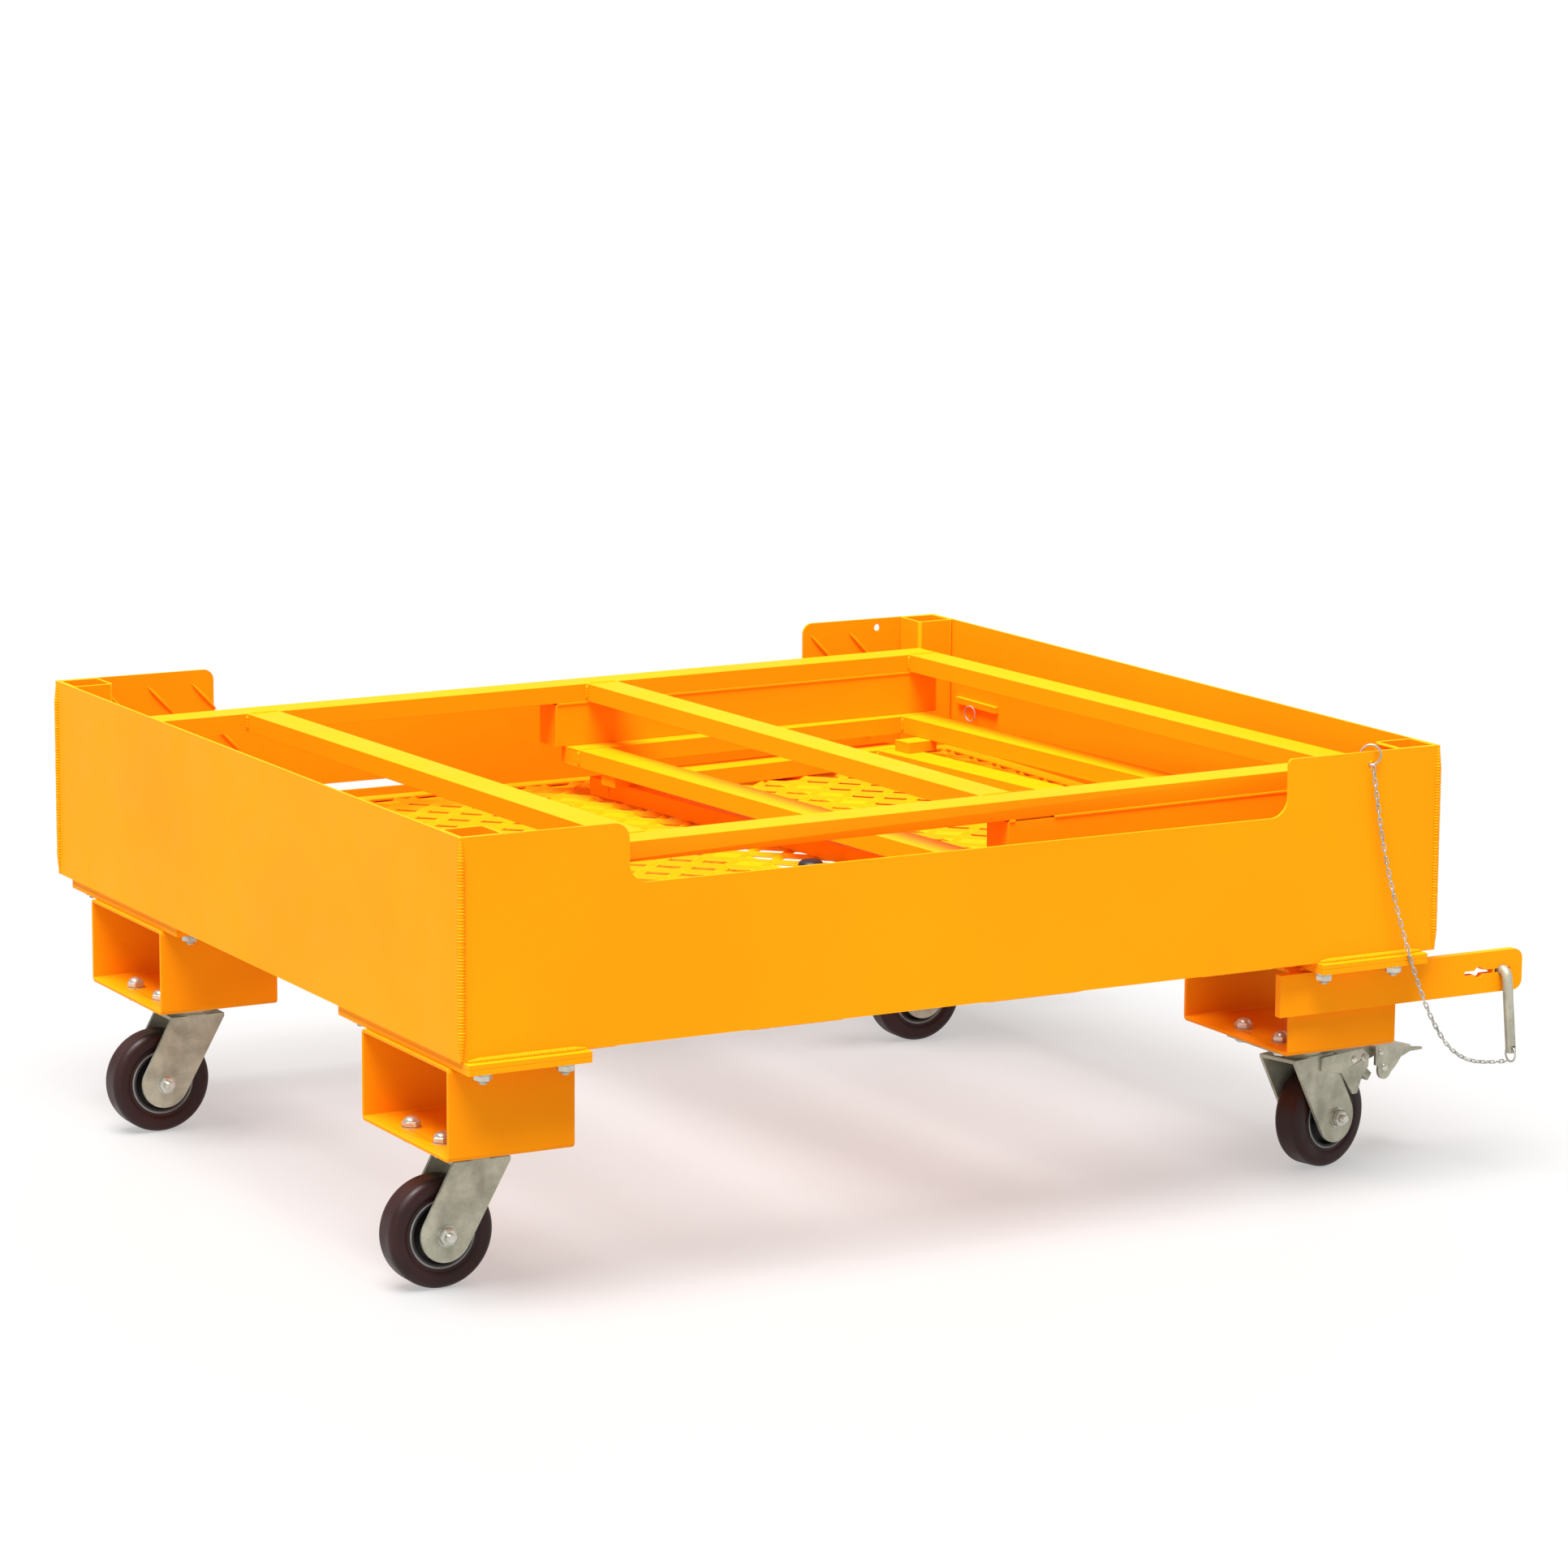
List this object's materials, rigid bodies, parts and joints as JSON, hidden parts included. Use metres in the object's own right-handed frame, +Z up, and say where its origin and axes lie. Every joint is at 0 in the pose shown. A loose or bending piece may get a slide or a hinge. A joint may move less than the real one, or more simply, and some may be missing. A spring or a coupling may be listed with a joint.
{
  "type": "forklift work platform on casters",
  "caption": "Steel work platform for forklifts, folded for transport: a tray on fork pockets and swivel casters, with its loose guardrail panels stacked inside.",
  "frame": {"origin": "on the ground under the middle of the whole object's box, leaving out the free chain", "axes": "+X to the right along the long lock bars, +Y to the back, +Z up"},
  "size_m": [1.383, 1.1375, 0.5156],
  "materials": {
    "safety_paint": "satin orange-yellow enamel",
    "socket_paint": "satin orange enamel, shaded",
    "zinc": "dull zinc plate",
    "fastener_zinc": "bright zinc plate",
    "chain_steel": "bright zinc plated wire",
    "tread_polyurethane": "satin maroon polyurethane",
    "wheel_core_iron": "dark painted casting",
    "bearing_steel": "polished",
    "dark_rubber": "matt"
  },
  "bodies": {
    "root": {"left_wall": "safety_paint", "right_wall": "safety_paint", "front_wall": "safety_paint", "rear_wall": "safety_paint", "corner_sockets": "safety_paint", "base_end_beams": "safety_paint", "base_side_beams": "safety_paint", "base_cross_beams": "safety_paint", "floor_mesh": "safety_paint", "floor_plug": "dark_rubber", "mounting_pads": "safety_paint", "pocket_plates": "safety_paint", "pad_fasteners": "fastener_zinc", "fork_pocket_fl": "socket_paint", "fork_pocket_fr": "socket_paint", "fork_pocket_rl": "socket_paint", "fork_pocket_rr": "socket_paint", "lock_bar_front": "safety_paint", "lock_bar_rear": "safety_paint", "wall_ring": "chain_steel", "pin_chain": "chain_steel", "socket_screws": "fastener_zinc", "pin_holder": "safety_paint", "caster_plate_fl": "zinc", "caster_plate_fr": "zinc", "caster_plate_rl": "zinc", "caster_plate_rr": "zinc", "caster_bolts": "fastener_zinc"},
    "front_left_swivel": {"caster_fork_fl": "zinc", "axle_bolt_fl": "fastener_zinc"},
    "front_left_wheel": {"wheel_core_fl": "wheel_core_iron", "wheel_tread_fl": "tread_polyurethane", "wheel_bearing_fl": "bearing_steel"},
    "front_right_swivel": {"caster_fork_fr": "zinc", "axle_bolt_fr": "fastener_zinc", "brake_bracket_fr": "zinc"},
    "front_right_wheel": {"wheel_core_fr": "wheel_core_iron", "wheel_tread_fr": "tread_polyurethane", "wheel_bearing_fr": "bearing_steel"},
    "front_right_brake_pedal": {"brake_pedal_fr": "zinc"},
    "rear_left_swivel": {"caster_fork_rl": "zinc", "axle_bolt_rl": "fastener_zinc"},
    "rear_left_wheel": {"wheel_core_rl": "wheel_core_iron", "wheel_tread_rl": "tread_polyurethane", "wheel_bearing_rl": "bearing_steel"},
    "rear_right_swivel": {"caster_fork_rr": "zinc", "axle_bolt_rr": "fastener_zinc", "brake_bracket_rr": "zinc"},
    "rear_right_wheel": {"wheel_core_rr": "wheel_core_iron", "wheel_tread_rr": "tread_polyurethane", "wheel_bearing_rr": "bearing_steel"},
    "rear_right_brake_pedal": {"brake_pedal_rr": "zinc"},
    "front_heel_pin": {"heel_pin_front": "zinc", "pin_ring": "chain_steel"},
    "rear_heel_pin": {"heel_pin_rear": "zinc"},
    "top_guardrail": {"guardrail_panel_top": "safety_paint", "guardrail_sleeves": "safety_paint"},
    "middle_guardrail": {"guardrail_panel_middle": "safety_paint"},
    "lower_guardrail": {"guardrail_panel_lower": "safety_paint", "stacking_lugs": "safety_paint"}
  },
  "joints": [
    {"name": "front_left_swivel", "type": "hinge", "parent": "root", "child": "front_left_swivel", "pos_m": [-0.5915, -0.419, 0.15], "axis": [0, 0, 1], "continuous": true},
    {"name": "front_left_wheel_spin", "type": "hinge", "parent": "front_left_swivel", "child": "front_left_wheel", "pos_m": [-0.6315, -0.419, 0.06], "axis": [0, -1, 0], "continuous": true},
    {"name": "front_right_swivel", "type": "hinge", "parent": "root", "child": "front_right_swivel", "pos_m": [0.4525, -0.434, 0.15], "axis": [0, 0, 1], "continuous": true},
    {"name": "front_right_wheel_spin", "type": "hinge", "parent": "front_right_swivel", "child": "front_right_wheel", "pos_m": [0.49114, -0.42365, 0.06], "axis": [-0.2588, 0.9659, 0], "continuous": true},
    {"name": "front_right_brake", "type": "hinge", "parent": "front_right_swivel", "child": "front_right_brake_pedal", "pos_m": [0.53364, -0.41226, 0.124], "axis": [-0.2588, 0.9659, 0], "range_deg": [0, 15]},
    {"name": "rear_left_swivel", "type": "hinge", "parent": "root", "child": "rear_left_swivel", "pos_m": [-0.5915, 0.349, 0.15], "axis": [0, 0, 1], "continuous": true},
    {"name": "rear_left_wheel_spin", "type": "hinge", "parent": "rear_left_swivel", "child": "rear_left_wheel", "pos_m": [-0.6315, 0.349, 0.06], "axis": [0, -1, 0], "continuous": true},
    {"name": "rear_right_swivel", "type": "hinge", "parent": "root", "child": "rear_right_swivel", "pos_m": [0.4415, 0.349, 0.15], "axis": [0, 0, 1], "continuous": true},
    {"name": "rear_right_wheel_spin", "type": "hinge", "parent": "rear_right_swivel", "child": "rear_right_wheel", "pos_m": [0.4015, 0.349, 0.06], "axis": [0, -1, 0], "continuous": true},
    {"name": "rear_right_brake", "type": "hinge", "parent": "rear_right_swivel", "child": "rear_right_brake_pedal", "pos_m": [0.3575, 0.349, 0.124], "axis": [0, -1, 0], "range_deg": [0, 15]},
    {"name": "front_heel_pin_turn", "type": "hinge", "parent": "root", "child": "front_heel_pin", "pos_m": [0.6635, -0.53, 0.234], "axis": [0, -1, 0], "range_deg": [0, 90]},
    {"name": "rear_heel_pin_turn", "type": "hinge", "parent": "root", "child": "rear_heel_pin", "pos_m": [0.6635, 0.466, 0.234], "axis": [0, -1, 0], "range_deg": [0, 90]},
    {"name": "lower_guardrail_lift", "type": "slide", "parent": "root", "child": "lower_guardrail", "axis": [0, 0, 1], "range_m": [0, 0.3]},
    {"name": "middle_guardrail_lift", "type": "slide", "parent": "lower_guardrail", "child": "middle_guardrail", "axis": [0, 0, 1], "range_m": [0, 0.3]},
    {"name": "top_guardrail_lift", "type": "slide", "parent": "middle_guardrail", "child": "top_guardrail", "axis": [0, 0, 1], "range_m": [0, 0.3]}
  ]
}
